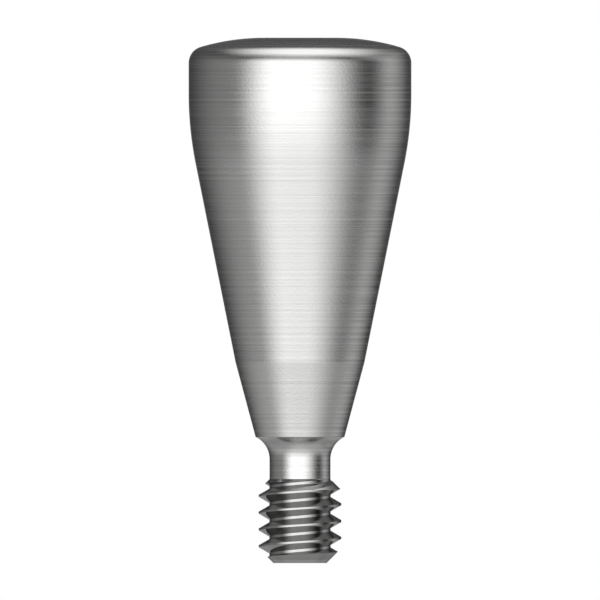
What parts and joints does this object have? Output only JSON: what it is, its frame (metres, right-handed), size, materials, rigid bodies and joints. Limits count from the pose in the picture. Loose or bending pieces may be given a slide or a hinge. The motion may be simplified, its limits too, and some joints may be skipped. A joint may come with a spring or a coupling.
{
  "type": "dental healing abutment",
  "caption": "Tapered titanium healing abutment for a dental implant, with a domed top, a hexagon driver socket and a screw turned on its foot.",
  "frame": {"origin": "centre of the flat end of the screw, where the screw enters the implant first", "axes": "+Z along the axis, from the screw towards the domed top; at +X the thread's crests lie 0.2 mm above the tip and every 0.4 mm from there, and two corners of the socket lie on X"},
  "size_m": [0.0052, 0.0052, 0.0125],
  "materials": {
    "titanium": "fine turned, with a polished screw"
  },
  "bodies": {
    "root": {"healing_abutment": "titanium"}
  },
  "joints": []
}
